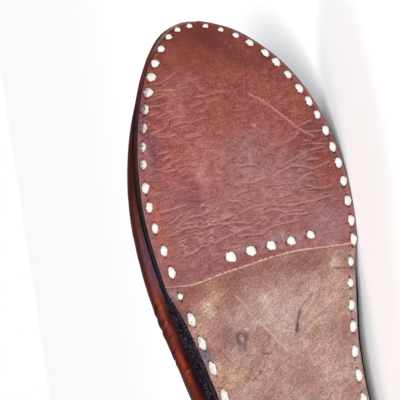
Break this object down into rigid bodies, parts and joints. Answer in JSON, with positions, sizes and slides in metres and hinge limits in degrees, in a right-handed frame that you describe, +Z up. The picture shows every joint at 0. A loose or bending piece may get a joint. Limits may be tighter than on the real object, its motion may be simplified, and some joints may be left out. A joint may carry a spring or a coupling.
{
  "type": "khussa",
  "caption": "Hand-sewn leather slip-on shoe with a nearly straight last, bound collar and layered leather sole with a front tread sheet, lying on its side.",
  "frame": {"origin": "middle of the bounding box at the floor on which the shoe lies", "axes": "+X towards the toe, -Y the way the tread faces, +Z up from the floor"},
  "size_m": [0.2982, 0.0762, 0.1063],
  "materials": {
    "upper_leather": "glossy red-brown leather, darker towards the toe",
    "binding_leather": "black leather strip, folded over the collar",
    "footbed_leather": "plain tan leather",
    "black_edge_leather": "black-dyed rough cut edge",
    "rear_tread_leather": "pale mottled tan sole leather",
    "front_tread_leather": "red-brown sole leather with fine pale creases",
    "sewing_cord": "flattened white cotton cord"
  },
  "bodies": {
    "root": {"upper": "upper_leather", "collar_binding": "binding_leather", "insole": "footbed_leather", "midsole": "black_edge_leather", "outsole": "rear_tread_leather", "half_sole": "front_tread_leather"}
  },
  "joints": []
}
